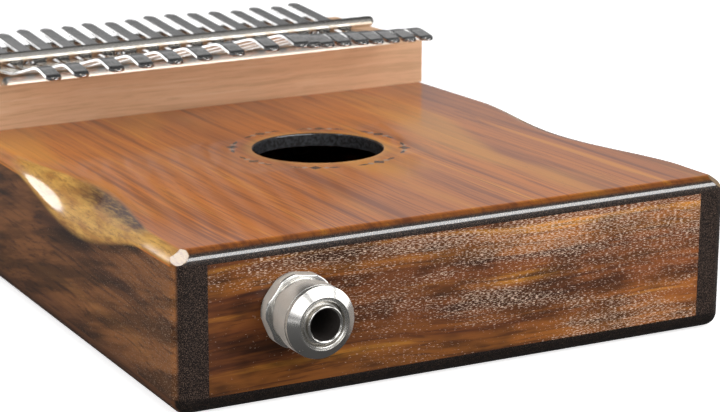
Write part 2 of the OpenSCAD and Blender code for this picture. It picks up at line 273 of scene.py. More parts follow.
def scoop_colour(s, colour):
    """Golden figured wood inside the hand scoops and on the rounding in front of them, with a
    dark-brown patch along their upper front boundary. Places are in mm."""
    x, y, _ = s.parts(s.place)
    up = s.parts(s.normal)[2]
    beyond = s.math("SUBTRACT", y, SCOOP_Y / MM)
    mask = s.math("MULTIPLY", s.ramp(up, 0.02, 0.22), s.ramp(up, 0.998, 0.95))
    mask = s.math("MULTIPLY", mask, s.ramp(s.math("ABSOLUTE", x), 53, 56))
    mask = s.math("MULTIPLY", mask, s.ramp(beyond, 46, 30))
    mask = s.math("MULTIPLY", mask, s.ramp(s.math("ABSOLUTE", s.parts(s.normal)[0]), 0.03, 0.12))
    figure = s.noise(s.scaled(s.place, (0.45, 0.11, 0.45)), 1.0, 6.0, 0.6)
    fine = s.noise(s.scaled(s.place, (1.5, 0.20, 1.5)), 1.0, 5.0, 0.7)
    gold = s.mix(s.ramp(figure, 0.30, 0.68), GOLD, GOLD_DARK)
    gold = s.mix(s.ramp(fine, 0.46, 0.66, 0, 0.6), gold, GOLD_LINE)
    edge = s.math("MULTIPLY", s.ramp(up, 0.68, 0.88), s.ramp(y, SCOOP_Y / MM + 18, SCOOP_Y / MM - 4))
    edge = s.math("MULTIPLY", edge, s.ramp(beyond, -38, -30))
    patch = s.math("MULTIPLY", edge, s.ramp(fine, 0.30, 0.60, 0.55, 1.0))
    return s.mix(mask, colour, s.mix(patch, gold, SCOOP_SHADOW))


def hole_place(s):
    """Place across the plate from the sound hole's middle: x, y and distance, in mm."""
    x, y, _ = s.parts(s.place)
    x, y = s.math("SUBTRACT", x, HOLE_X / MM), s.math("SUBTRACT", y, HOLE_Y / MM)
    return x, y, s.vector("LENGTH", s.joined(x, y, 0), (0, 0, 0))


def hole_marks(s, colour):
    """Round the sound hole, a ring of small burnt diamonds, each between two pale dots and two burnt
    dashes. Lengths are in mm."""
    step = 2 * pi / MARKS
    x, y, distance = hole_place(s)
    turn = s.math("DIVIDE", s.math("SUBTRACT", s.math("ARCTAN2", y, x), MARK_RING_TURN), step)
    along = s.math("MULTIPLY", s.math("SUBTRACT", turn, s.math("ROUND", turn)), MARK_RING_R * step)
    along = s.math("ABSOLUTE", along)
    across = s.math("ABSOLUTE", s.math("SUBTRACT", distance, MARK_RING_R))
    diamond = s.ramp(s.math("ADD", along, across), 1.75, 1.4)
    from_dot = s.math("ABSOLUTE", s.math("SUBTRACT", along, 2.5))
    dots = s.ramp(s.math("ADD", from_dot, across), 1.1, 0.8)
    from_dash = s.math("MULTIPLY", s.math("ABSOLUTE", s.math("SUBTRACT", along, 4.4)), 0.35)
    dashes = s.ramp(s.math("ADD", from_dash, across), 0.68, 0.5)
    colour = s.mix(s.math("MULTIPLY", dots, 0.85), colour, INLAY_PALE)
    return s.mix(s.math("MULTIPLY", s.math("MAXIMUM", diamond, dashes), 0.95), colour, BURNT_AND_HOLE_SHADE)


def hole_wall(s, colour):
    """Wall of the sound hole painted near-black as painted shade, a painted highlight of gold along its
    rim, and a faint pale halo round that.
    """
    distance = hole_place(s)[2]
    low = s.ramp(s.parts(s.place)[2], SEAM_Z / MM - 0.4, SEAM_Z / MM - 0.2)
    # painted shade: the hole's wall above the seam is painted near-black for the shade inside the hole
    burnt = s.mix(s.ramp(s.noise(s.place, 1.4, 3.0), 0.35, 0.65), HOLE_SHADE_GREY, BURNT_AND_HOLE_SHADE)
    wall = s.ramp(distance, HOLE_R / MM + 0.42, HOLE_R / MM + 0.22)
    # painted highlight: gold on the rim's rounding, for the bright line along the hole's edge
    rim = s.math("MULTIPLY", s.ramp(distance, HOLE_R / MM + 0.8, HOLE_R / MM + 0.3), 0.5)
    halo = s.math("MULTIPLY", s.ramp(distance, HOLE_R / MM + 3.6, HOLE_R / MM + 0.4), 0.3)
    colour = s.mix(s.math("MAXIMUM", rim, halo), colour, GOLD)
    return s.mix(s.math("MULTIPLY", wall, low), colour, burnt)


def top_wood():
    """Straight-grained board with painted shade towards the bridge block, for the block's shadow, and
    darker on its rounded ends. Its lacquer is duller where it is level, and on the rounding in front of
    the scoops."""
    s = Shader("koa_top")
    colour, hairs = streaks_of(s, "Y", TOP_TONES, (0.055, 0.30, 1.5), 2.5, 70.0)
    patches = s.noise(s.scaled(s.place, (0.04, 0.012, 0)), 1.0, 2.0)
    y = s.parts(s.place)[1]
    tilt_x, tilt_y, up = s.parts(s.normal)
    colour = s.mix(s.ramp(patches, 0.52, 0.68, 0, 0.55), colour, TOP_PATCH)
    colour = flecked(s, colour, "Y", 0.15, TOP_FLECK, 0.5, (0.2, 1.6))
    # painted shade: the colour is darkened towards the bridge block (y 33 mm) for the block's shadow,
    # and lifted towards y 0
    colour = shaded(s, colour, s.ramp(y, 33, 0, 0.76, 1.10))
    colour = hole_marks(s, scoop_colour(s, colour))
    rounding = s.ramp(s.math("ABSOLUTE", tilt_y), 0.05, 0.45, 1.0, 0.4)
    colour = end_grain(s, shaded(s, colour, rounding))
    dull = s.math("MULTIPLY", s.ramp(y, SCOOP_Y / MM - 34, SCOOP_Y / MM - 42, 0, 0.15),
                  s.ramp(s.math("ABSOLUTE", tilt_x), 0.1, 0.3))
    coat_roughness = s.ramp(up, 0.92, 0.995, s.math("ADD", dull, 0.07), 0.13)
    return lacquered(s, hole_wall(s, colour), hairs, coat_roughness)


def panel_wood():
    """Quartered board with short pale pore flecks in drifts, more of them at the top and right. Its
    lacquer mirrors less close to the jack."""
    s = Shader("koa_panel")
    colour, hairs = streaks_of(s, "X", PANEL_TONES, (0.10, 0.30, 1.4), 3.0, 60.0)
    x, _, z = s.parts(s.place)
    drifts = s.noise(s.scaled(s.place, (0.03, 1, 0.16)), 1.0, 3.0, 0.55)
    density = s.math("ADD", s.ramp(drifts, 0.40, 0.66, 0.0, 0.5), s.ramp(x, -60, 40, -0.05, 0.55))
    density = s.math("ADD", density, s.ramp(z, 6, 30, -0.2, 0.25))
    patches = s.noise(s.scaled(s.place, (0.06, 1, 0.22)), 1.0, 3.0, 0.6)
    colour = shaded(s, colour, s.ramp(patches, 0.36, 0.62, 0.60, 1.55))
    colour = shaded(s, colour, s.ramp(x, -30, 60, 0.92, 1.75))
    colour = shaded(s, colour, s.ramp(z, 3, 16, 0.72, 1.0))
    colour = flecked(s, colour, "X", density, PANEL_FLECK, 0.8, (0.6, 3.3))
    jack_place = (JACK_X / MM, PLAYER_Y / MM, JACK_Z / MM)
    from_jack = s.vector("LENGTH", s.vector("SUBTRACT", s.place, jack_place), (0, 0, 0))
    path = s.node("LightPath")
    mirrored = s.math("MULTIPLY", path.outputs["Is Glossy Ray"], 0.8)
    made = lacquered(s, s.mix(mirrored, colour, PANEL_MIRRORED), hairs, 0.2)
    s.set(s.surface, "Coat Weight", s.ramp(from_jack, 14, 22, 0.15, 1.0))
    return made


def side_wood():
    """Dark board with slanting shadows along it, and pale flecks towards the player's end."""
    s = Shader("koa_side")
    colour, hairs = streaks_of(s, "Y", SIDE_TONES, (0.07, 0.16, 1.3), 9.0, 60.0, 0.02)
    _, y, z = s.parts(s.place)
    slanted = s.math("MULTIPLY", s.math("ADD", z, s.math("MULTIPLY", y, 0.22)), 0.17)
    shadow = s.noise(s.joined(0, s.math("MULTIPLY", y, 0.018), slanted), 1.0, 4.0, 0.6)
    colour = shaded(s, colour, s.ramp(shadow, 0.38, 0.60, 0.50, 1.45))
    colour = flecked(s, colour, "Y", s.ramp(y, 0, -90, 0.1, 0.6), SIDE_FLECK, 0.7, (0.9, 3.2))
    colour = scoop_colour(s, colour)
    coat_roughness = s.ramp(s.math("ABSOLUTE", s.parts(s.normal)[2]), 0.05, 0.3, 0.1, 0.07)
    return lacquered(s, end_grain(s, colour), hairs, coat_roughness)


def back_wood():
    """As the sides, and darker on its rounded ends."""
    s = Shader("koa_back")
    colour, hairs = streaks_of(s, "Y", SIDE_TONES, (0.07, 0.2, 1.3), 4.0, 60.0)
    colour = end_grain(s, colour, (0.3, 0.6))
    front = s.ramp(s.math("ABSOLUTE", s.parts(s.normal)[1]), 0.3, 0.6, 1.0, 0.35)
    return lacquered(s, shaded(s, colour, front), hairs, 0.2)


def pale_wood():
    """Bare sanded wood of the bridge block."""
    s = Shader("pale_wood")
    colour, hairs = streaks_of(s, "X", PALE_TONES, (0.2, 0.7, 2.5), 1.2, 40.0, 0.03)
    colour = shaded(s, colour, s.ramp(s.parts(s.place)[0], -60, 60, 0.92, 1.08))
    return s.finish(Base_Color=colour, Roughness=s.ramp(hairs, 0.3, 0.7, 0.55, 0.7),
                    Normal=s.bump(hairs, 0.03 * MM), Specular_IOR_Level=0.3)


# ---- Metal and the rest --------------------------------------------------

MARK_DEPTH = 0.004 * MM


def metal(name, colour, rough, scratch_scale, tarnish, lines=(1, 1, 1), spread=0.35):
    """Ground or turned metal. Fine marks, drawn out along the smallest of `lines`, vary the roughness
    by `spread`, and slow patches of wear darken it by `tarnish`."""
    s = Shader(name)
    marks = s.noise(s.scaled(s.place, lines), scratch_scale, 4.0, 0.6)
    patches = s.noise(s.place, 0.35, 3.0, 0.6)
    tone = s.mix(s.ramp(patches, 0.35, 0.7, 0, tarnish), colour, tuple(0.45 * c for c in colour))
    roughness = s.math("ADD", s.ramp(marks, 0.3, 0.7, rough * (1 - spread), rough * (1 + spread)),
                       s.ramp(patches, 0.4, 0.8, 0, 0.06))
    return s.finish(Base_Color=tone, Metallic=1.0, Roughness=roughness,
                    Normal=s.bump(marks, spread * MARK_DEPTH))


def plain(name, colour, rough, metallic=0.0):
    """Moulded or fired material, slightly uneven in tone."""
    s = Shader(name)
    patches = s.noise(s.place, 0.8, 4.0, 0.6)
    tone = s.mix(s.ramp(patches, 0.35, 0.7, 0, 0.3), colour, tuple(0.6 * c for c in colour))
    return s.finish(Base_Color=tone, Roughness=s.ramp(patches, 0.3, 0.7, rough, rough * 1.3),
                    Metallic=metallic, Normal=s.bump(patches, 0.01 * MM))


# ---- Mesh building -------------------------------------------------------

WELD = 0.0002 * MM            # points closer than this become one


def add_mesh(name, points, faces, material):
    """A smooth-shaded piece, given its material."""
    mesh = bpy.data.meshes.new(name)
    mesh.from_pydata([tuple(p) for p in points], [], faces)
    made = bmesh.new()
    made.from_mesh(mesh)
    bmesh.ops.recalc_face_normals(made, faces=made.faces)
    made.to_mesh(mesh)
    made.free()
    mesh.polygons.foreach_set("use_smooth", [True] * len(mesh.polygons))
    piece = bpy.data.objects.new(name, mesh)
    bpy.context.scene.collection.objects.link(piece)
    mesh.materials.append(material)
    weighted = piece.modifiers.new("Even shading", "WEIGHTED_NORMAL")
    weighted.keep_sharp = True
    return piece


def cleaned(mesh):
    """Welds points that coincide and removes faces without area."""
    made = bmesh.new()
    made.from_mesh(mesh)
    bmesh.ops.remove_doubles(made, verts=made.verts, dist=WELD)
    bmesh.ops.dissolve_degenerate(made, edges=made.edges, dist=WELD / 2)
    bmesh.ops.recalc_face_normals(made, faces=made.faces)
    made.to_mesh(mesh)
    made.free()


def loft(rings, closed_ends=True):
    """Points and faces of a skin over rings of equal length."""
    count = len(rings[0])
    points = [p for ring in rings for p in ring]
    faces = []
    for r in range(len(rings) - 1):
        for i in range(count):
            j = (i + 1) % count
            faces.append((r * count + i, r * count + j, (r + 1) * count + j, (r + 1) * count + i))
    if closed_ends:
        faces.append(tuple(range(count)))
        faces.append(tuple(range((len(rings) - 1) * count, len(rings) * count)))
    return points, faces


def softened(profile, radius, steps=4):
    """The closed profile with each corner rounded off."""
    most = 0.45                               # of a side's length that one rounding may take
    out = []
    for i, p in enumerate(profile):
        corner = Vector(p)
        before = Vector(profile[i - 1]) - corner
        after = Vector(profile[(i + 1) % len(profile)]) - corner
        cut = min(radius, before.length * most, after.length * most)
        start, end = corner + before.normalized() * cut, corner + after.normalized() * cut
        for k in range(steps + 1):
            t = k / steps
            out.append(tuple(start * (1 - t) ** 2 + corner * 2 * t * (1 - t) + end * t ** 2))
    return out


def lathe(name, profile, origin, axis, material, steps=128, closed=True):
    """Turns [(radius, distance along axis)] about the axis through origin. A closed profile gives a
    ring, and an open one a bar that is capped at both ends."""
    axis = Vector(axis).normalized()
    side = axis.orthogonal().normalized()
    up = axis.cross(side)
    rings = []
    for radius, along in profile:
        centre = Vector(origin) + axis * along
        rings.append([centre + radius * (side * cos(2 * pi * k / steps) + up * sin(2 * pi * k / steps))
                      for k in range(steps)])
    if closed:
        rings.append(rings[0])
    points, faces = loft(rings, closed_ends=not closed)
    piece = add_mesh(name, points, faces, material)
    if closed:
        cleaned(piece.data)
    return piece


# ---- Sound box -----------------------------------------------------------

ARC_STEPS = 16
SCOOP_STEPS = 60
HOLE_STEPS = 160
TINY = 0.001 * MM             # least radius of an arc, so that its points stay apart
TOP_ZONE = SEAM_Z - 1 * MM    # above it, the corners are blunted and the sound hole is cut
OUTSIDE = 0.86                # cosine under which a face's own normal counts as hidden
CORNER_CUT = 0.7 * MM         # depth of the small flat rubbed on each upper corner
CORNER_FACING = (0.5, 0.47, 0.73)                # direction in which it faces at the far right corner
TOP_STEPS = (0.3, 0.6, 0.9, 1.3, 2, 4, 10, 30)   # extra points of the top's skin, mm from the rounding


def edge_radius(y):
    """Radius of the long upper edge, larger inside a scoop."""
    t = (y - SCOOP_Y) / SCOOP_HALF
    return EDGE_R + SCOOP_GROWTH * max(0.0, 1 - t * t) ** 2


def edge_slope(y):
    """How fast that radius grows along the edge."""
    t = (y - SCOOP_Y) / SCOOP_HALF
    return 0.0 if abs(t) >= 1 else -4 * t * (1 - t * t) * SCOOP_GROWTH / SCOOP_HALF


def box_stations():
    """[(y, inset of the outline)] from the player's end to the far end, rounded at both."""
    end = [(EDGE_R * (1 - cos(a)), EDGE_R * (1 - sin(a)))
           for a in (pi / 2 * k / ARC_STEPS for k in range(ARC_STEPS + 1))]
    scoop = [SCOOP_Y + SCOOP_HALF * (2 * k / SCOOP_STEPS - 1) for k in range(SCOOP_STEPS + 1)]
    middle = scoop + [(scoop[-1] + FAR_Y - EDGE_R) / 2]
    return ([(PLAYER_Y + d, inset) for d, inset in end] + [(y, 0.0) for y in middle]
            + [(FAR_Y - d, inset) for d, inset in reversed(end)])


def edge_arc(y, inset, above):
    """Points (x, z) of the right-hand rounding, above or below the seam, from low to high."""
    r = edge_radius(y)
    turned = max(r - inset, TINY)
    seam = asin(min(max((SEAM_Z - TOP_Z + r) / turned, 0.0), 1.0))
    first, last = (seam, pi / 2) if above else (0.0, seam)
    angles = [first + (last - first) * k / ARC_STEPS for k in range(ARC_STEPS + 1)]
    return [(HALF_W - r + turned * cos(a), TOP_Z - r + turned * sin(a)) for a in angles]


def corner_cut(p):
    """How far p lies outside the blunted corner nearest to it, and the direction it faces."""
    p = Vector(p)
    side = 1 if p.x > 0 else -1
    far = p.y > 0
    facing = Vector((CORNER_FACING[0] * side, CORNER_FACING[1] * (1 if far else -1), CORNER_FACING[2]))
    facing.normalize()
    centre = Vector(((HALF_W - EDGE_R) * side, FAR_Y - EDGE_R if far else PLAYER_Y + EDGE_R,
                     TOP_Z - EDGE_R))
    return (p - centre).dot(facing) - (EDGE_R - CORNER_CUT), facing


def blunted(ring):
    """The ring with what lies outside a blunted upper corner moved onto its flat."""
    out = []
    for p in ring:
        excess, facing = corner_cut(p)
        cut = excess > 0 and p[2] > TOP_ZONE
        out.append(tuple(Vector(p) - facing * excess) if cut else p)
    return out


def box_normal(p):
    """Direction in which the sound box's outside faces at p."""
    across, beyond = abs(p.x), p.y - min(max(p.y, PLAYER_Y + EDGE_R), FAR_Y - EDGE_R)
    rim = Vector((p.x - HOLE_X, p.y - HOLE_Y, 0))
    if p.z > TOP_ZONE and rim.length < HOLE_R + HOLE_RIM + 0.02 * MM:
        out = rim.normalized() * (rim.length - HOLE_R - HOLE_RIM)
        return (out + Vector((0, 0, max(p.z - TOP_Z + HOLE_RIM, 0.0)))).normalized()
    excess, facing = corner_cut(p)
    if p.z > TOP_ZONE and excess > -0.01 * MM and abs(beyond) > 0:
        return facing
    if p.z < EDGE_R:
        x = max(across - HALF_W + EDGE_R, 0.0)
        return Vector((x if p.x > 0 else -x, beyond, p.z - EDGE_R)).normalized()
    r, slope = edge_radius(p.y), edge_slope(p.y)
    x, z = max(across - HALF_W + r, 0.0) / r, max(p.z - TOP_Z + r, 0.0) / r
    return Vector((x if p.x > 0 else -x, beyond / EDGE_R + slope * (x + z - 1), z)).normalized()


def shade_as_box(mesh):
    """Gives the outside the true normals of the rounded form, and leaves hidden faces flat."""
    mesh.update()
    normals = []
    for polygon in mesh.polygons:
        for index in polygon.vertices:
            true = box_normal(mesh.vertices[index].co)
            normals.append(true if true.dot(polygon.normal) > OUTSIDE else polygon.normal.copy())
    mesh.polygons.foreach_set("use_smooth", [True] * len(mesh.polygons))
    mesh.normals_split_custom_set(normals)


def box_skin(name, rings, node, material, cutter=None):
    """A part of the sound box with smooth rounded edges, less the cutter, in place of its CAD node."""
    points, faces = loft(rings)
    piece = add_mesh(name, points, faces, material)
    piece.modifiers.clear()
    cleaned(piece.data)
    if cutter:
        difference = piece.modifiers.new("Sound hole", "BOOLEAN")
        difference.solver = "EXACT"
        difference.object = cutter
        graph = bpy.context.evaluated_depsgraph_get()
        cut = bpy.data.meshes.new_from_object(piece.evaluated_get(graph))
        piece.modifiers.clear()
        piece.data = cut
    shade_as_box(piece.data)
    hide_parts(node)
    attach(piece, "box")


def hole_cutter():
    """Solid of the sound hole, flared at its rim."""
    flare_steps = 6
    margin = 0.01 * MM
    low, high = SEAM_Z - 2 * MM, TOP_Z + 2 * MM
    flare = [(HOLE_R + HOLE_RIM * (1 - cos(a)), TOP_Z - HOLE_RIM + HOLE_RIM * sin(a))
             for a in (pi / 2 * k / flare_steps for k in range(flare_steps + 1))]
    flare[-1] = (HOLE_R + HOLE_RIM, TOP_Z + margin)
    profile = [(margin, low), (HOLE_R, low)] + flare + [(HOLE_R + HOLE_RIM, high), (margin, high)]
    turns = [2 * pi * k / HOLE_STEPS for k in range(HOLE_STEPS)]
    points, faces = loft([[(HOLE_X + r * cos(a), HOLE_Y + r * sin(a), z) for a in turns]
                          for r, z in profile])
    mesh = bpy.data.meshes.new("cutter")
    mesh.from_pydata(points, [], faces)
    cleaned(mesh)
    cutter = bpy.data.objects.new("cutter", mesh)
    bpy.context.scene.collection.objects.link(cutter)
    return cutter


def sound_box(top, side, back):
    """Top plate, side walls and back plate, lofted along the box. Each is mirrored about its middle."""
    low_z, inner_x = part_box("side_right")[0].z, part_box("side_right")[0].x
    top_rings, side_rings = [], {1: [], -1: []}
    for y, inset in box_stations():
        upper = edge_arc(y, inset, above=True)
        reach, level = upper[-1]
        upper += [(reach - step * MM, level) for step in TOP_STEPS]
        top_rings.append(blunted([(x, y, z) for x, z in upper]
                                 + [(-x, y, z) for x, z in reversed(upper)]))
        wall = ([(inner_x, low_z), (HALF_W - inset, low_z)] + edge_arc(y, inset, above=False)
                + [(inner_x, SEAM_Z)])
        for side_sign, rings in side_rings.items():
            rings.append(blunted([(side_sign * x, y, z) for x, z in wall]))
    cutter = hole_cutter()
    box_skin("top_plate_shaped", top_rings, "top_plate", top, cutter)
    bpy.data.objects.remove(cutter)
    box_skin("side_left_shaped", side_rings[-1], "side_left", side)
    box_skin("side_right_shaped", side_rings[1], "side_right", side)

    joint_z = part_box("back_plate")[1].z
    back_rings = []
    for y, inset in box_stations():
        turned = max(EDGE_R - inset, TINY)
        lower = [(HALF_W - EDGE_R + turned * cos(a), EDGE_R - turned * sin(a))
                 for a in (pi / 2 * k / ARC_STEPS for k in range(ARC_STEPS + 1))]
        half = [(HALF_W - inset, joint_z)] + lower
        back_rings.append([(x, y, z) for x, z in half] + [(-x, y, z) for x, z in reversed(half)])
    box_skin("back_plate_shaped", back_rings, "back_plate", back)


# ---- Rods ----------------------------------------------------------------

def rod(node, material):
    """Polished round stock with domed ends, in place of a CAD rod."""
    low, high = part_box(node)
    radius = (high.z - low.z) / 2
    length = high.x - low.x
    dome_steps = 10
    end = [(radius * sin(a), radius * (1 - cos(a)))
           for a in (pi / 2 * k / dome_steps for k in range(dome_steps + 1))]
    end[0] = (radius * 0.02, 0.0)
    rows = 40
    body = [(radius, radius + (length - 2 * radius) * k / rows) for k in range(1, rows)]
    profile = end + body + [(r, length - along) for r, along in reversed(end)]
    start = (low.x, (low.y + high.y) / 2, high.z - radius)
    piece = lathe(node + "_polished", profile, start, (1, 0, 0), material,
                  steps=48, closed=False)
    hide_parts(node)
    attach(piece, "box")


# ---- Tines ---------------------------------------------------------------

CORNER_R = 0.16 * MM          # rounding of a tine's long edges
SIDE_SLANT = 0.32 * MM        # how much narrower each side is on top than below
END_R = 0.3 * MM              # rounding of its ends, seen from the side
TIP_CORNER_R = 1.6 * MM       # corners of the playing end, seen from above
TAIL_ROUNDING = 0.96          # corners of the tuning end, as a share of half the width
SLANT_LIMIT = 0.4             # most that the slant may take off a narrow end
CORNER_LIMIT = 0.95           # most of a narrow section that its rounding may take
STATION_STEP = 0.9 * MM
BEND_SMOOTHING = 6


def tree_of(node):
    """The faces of a CAD node, for measuring."""
    mesh = NODES[node].data
    return BVHTree.FromPolygons([v.co for v in mesh.vertices], [p.vertices for p in mesh.polygons])


def thickness_at(tree, x, y):
    """Lowest and highest z of a CAD solid on the upright line through (x, y)."""
    above = tree.ray_cast(Vector((x, y, 1)), Vector((0, 0, -1)))[0]
    below = tree.ray_cast(Vector((x, y, -1)), Vector((0, 0, 1)))[0]
    return below.z, above.z


def smoothed(values, passes):
    """Each value averaged with its neighbours, with both ends kept."""
    for _ in range(passes):
        inner = [(a + 2 * b + c) / 4 for a, b, c in zip(values, values[1:], values[2:])]
        values = [values[0]] + inner + [values[-1]]
    return values


def section_ring(half_w, half_t, corner):
    """Rounded strip section (across, up) with its sides ground to a slant, narrower on top."""
    steps = 4
    slant = min(SIDE_SLANT / half_w, SLANT_LIMIT)
    ring = []
    for sx, sz, start in ((1, 1, 0), (-1, 1, 90), (-1, -1, 180), (1, -1, 270)):
        for k in range(steps + 1):
            a = radians(start + 90 * k / steps)
            across = sx * (half_w - corner) + corner * cos(a)
            up = sz * (half_t - corner) + corner * sin(a)
            ring.append((across * (1 - slant * (up / half_t + 1) / 2), up))
    return ring


def end_stations(plan_r, half_w):
    """[(distance from the end, half width, shrink of the thickness)] from the end inwards."""
    edge_steps, plan_steps = 3, 8
    least_w = 0.1 * MM
    rows = []
    for k in range(edge_steps + 1):
        a = pi / 2 * (1 - k / edge_steps)
        blunt = END_R * (1 - cos(a))
        rows.append((END_R * (1 - sin(a)), max(half_w - plan_r - blunt / 2, least_w), blunt))
    for k in range(1, plan_steps + 1):
        a = pi / 2 * k / plan_steps
        rows.append((END_R + plan_r * (1 - cos(a)), half_w - plan_r + plan_r * sin(a), 0.0))
    return rows


def strip_middle(stations, x, rod_y, ends, tongue, tails):
    """Height of the strip's middle at each station, and its thickness, measured on the CAD solids:
    the tongue in front of the bridge rod and the clamped tail behind it. A slanted stretch reads too
    thick, so the thickness is one of the lowest readings."""
    margin = 0.02 * MM
    seam = 4 * margin
    bottoms, tops = [], []
    for y, _, _ in stations:
        inside = min(max(y, ends[0] + margin), ends[1] - margin)
        if abs(inside - rod_y) < seam:
            inside = rod_y + seam
        bottom, top = thickness_at(tongue if inside < rod_y else tails, x, inside)
        bottoms.append(bottom)
        tops.append(top)
    middles = smoothed([(a + b) / 2 for a, b in zip(bottoms, tops)], BEND_SMOOTHING)
    return middles, sorted(b - a for a, b in zip(bottoms, tops))[2]


def tine(node, tails, material):
    """One strip of spring steel from its tuning end to its playing tip."""
    low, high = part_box(node)
    x, half_w = (low.x + high.x) / 2, (high.x - low.x) / 2
    near_x = 1.5 * half_w
    tail_end = max(v.co.y for v in NODES["tine_tails"].data.vertices if abs(v.co.x - x) < near_x)
    rod_low, rod_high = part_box("front_bridge_rod")
    rod_y = (rod_low.y + rod_high.y) / 2

    rear = end_stations(half_w * TAIL_ROUNDING, half_w)
    tip = end_stations(TIP_CORNER_R, half_w)
    run = tail_end - rear[-1][0], low.y + tip[-1][0]
    count = round((run[0] - run[1]) / STATION_STEP)
    body = [(run[0] + (run[1] - run[0]) * k / count, half_w, 0.0) for k in range(1, count)]
    stations = ([(tail_end - d, w, s) for d, w, s in rear] + body
                + [(low.y + d, w, s) for d, w, s in reversed(tip)])
    middles, full = strip_middle(stations, x, rod_y, (low.y, tail_end), tree_of(node), tails)

    rings = []
    for i, (y, w, shrink) in enumerate(stations):
        a, b = max(i - 1, 0), min(i + 1, len(stations) - 1)
        along = Vector((0, stations[b][0] - stations[a][0], middles[b] - middles[a])).normalized()
        up = Vector((0, along.z, -along.y)) * (1 if along.y < 0 else -1)
        half_t = full / 2 - shrink
        centre = Vector((x, y, middles[i]))
        ring = section_ring(w, half_t, min(CORNER_R, half_t * CORNER_LIMIT, w * CORNER_LIMIT))
        rings.append([centre + Vector((1, 0, 0)) * u + up * v for u, v in ring])

    points, faces = loft(rings)
    piece = add_mesh(node + "_strip", points, faces, material)
    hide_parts(node, "tine_tails")
    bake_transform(piece)


# ---- Output jack ---------------------------------------------------------

TURNED_EDGE = 0.08 * MM       # rounding of a turned part's edges


def jack_extent(node):
    """Outer radius, inner and outer distance of a jack part from the end panel's face."""
    low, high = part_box(node)
    return (high.z - low.z) / 2, PLAYER_Y - high.y, PLAYER_Y - low.y


def jack_part(node, profile, material, soft=TURNED_EDGE):
    """A turned part of the jack, in place of its CAD node."""
    piece = lathe(node + "_turned", softened(profile, soft), (JACK_X, PLAYER_Y, JACK_Z), (0, -1, 0),
                  material)
    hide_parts(node)
    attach(piece, "box")
    return piece


NUT_CORNER_R = 8.9 * MM       # of the sharp hexagon
NUT_TURNED_R = 8.1 * MM       # to which its corners are turned off
NUT_FACE_R = 7.5 * MM         # where its chamfers end
NUT_CHAMFER = radians(30)
NUT_TURN = radians(-8)
NUT_STEPS = 240


def hexagon_nut(node, material, bore):
    """Six-sided nut whose outer corners are turned off, with a chamfer on each face."""
    _, back, front = jack_extent(node)
    half_flat = NUT_CORNER_R * cos(pi / 6)
    columns = []
    for k in range(NUT_STEPS):
        a = 2 * pi * k / NUT_STEPS
        edge = min(half_flat / cos((a - NUT_TURN) % (pi / 3) - pi / 6), NUT_TURNED_R)
        drop = (edge - NUT_FACE_R) * tan(NUT_CHAMFER)
        profile = [
            (bore, front), (NUT_FACE_R, front), (edge - TURNED_EDGE, front - drop),
            (edge, front - drop - TURNED_EDGE), (edge, back + drop + TURNED_EDGE),
            (edge - TURNED_EDGE, back + drop), (NUT_FACE_R, back), (bore, back), (bore, front)]
        columns.append([(JACK_X + radius * cos(a), PLAYER_Y - out, JACK_Z + radius * sin(a))
                        for radius, out in profile])
    points, faces = loft(list(zip(*columns)), closed_ends=False)
    piece = add_mesh(node + "_turned", points, faces, material)
    cleaned(piece.data)
    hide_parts(node)
    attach(piece, "box")


LIP_R = 3.95 * MM             # of the barrel's turned-down mouth
THREAD_GAP = 0.03 * MM


def output_jack(nickel, bore):
    """The turned parts outside the end panel. The barrel's socket gets the bore's own material."""
    barrel_r, barrel_in, barrel_out = jack_extent("jack_barrel")
    inner_r = barrel_r + THREAD_GAP
    mouth = 0.3 * MM
    barrel = jack_part("jack_barrel", [
        (SOCKET_R, barrel_in), (barrel_r, barrel_in), (barrel_r, barrel_out - 2.0 * MM),
        (LIP_R + 0.3 * MM, barrel_out - 1.5 * MM), (LIP_R, barrel_out - 1.45 * MM),
        (LIP_R, barrel_out - 0.2 * MM), (LIP_R - 0.2 * MM, barrel_out),
        (SOCKET_R + mouth, barrel_out), (SOCKET_R, barrel_out - mouth)], nickel)
    barrel.data.materials.append(bore)
    for polygon in barrel.data.polygons:
        centre = polygon.center
        if hypot(centre.x - JACK_X, centre.z - JACK_Z) < SOCKET_R + 0.01 * MM:
            polygon.material_index = 1

    r, back, front = jack_extent("jack_spacer")
    jack_part("jack_spacer", [(inner_r, back), (r, back), (r, front), (inner_r, front)],
              nickel, 0.25 * MM)

    r, back, front = jack_extent("jack_cap_nut")
    face_r, recess_r, groove_r = 5.6 * MM, 5.05 * MM, r - 0.5 * MM
    groove, cone = front - 2.6 * MM, front - 1.6 * MM
    jack_part("jack_cap_nut", [
        (inner_r, back), (r - 0.3 * MM, back), (r, back + 0.3 * MM), (r, groove),
        (groove_r, groove + 0.1 * MM), (groove_r, groove + 0.5 * MM), (r, groove + 0.65 * MM),
        (r, cone), (face_r, front), (recess_r + 0.27 * MM, front),
        (recess_r + 0.22 * MM, front - 0.4 * MM), (recess_r - 0.05 * MM, front - 0.4 * MM),
        (recess_r - 0.1 * MM, front - 0.1 * MM), (inner_r, front - 0.25 * MM),
        (inner_r, front - 1.5 * MM)], nickel)

    hexagon_nut("jack_hex_nut", nickel, inner_r)


# ---- Stage, light and camera ---------------------------------------------

ROOM_LOW, ROOM_HIGH = 0.19, 0.05       # brightness that polished surfaces see, low down and high up
ROOM_STEP = (0.3, 0.55)                # sines of the elevations between which it changes
ROOM_FILL = 0.4
FLOOR_SIZE = 6.0
FLOOR_DROP = 0.3 * MM                  # how far the floor lies under the back plate
FLOOR_GLOW = 0.75
FLOOR_TONES = (0.84, 0.84, 0.84), (0.8, 0.8, 0.8)
FLOOR_MIRRORED = (0.12, 0.12, 0.12)


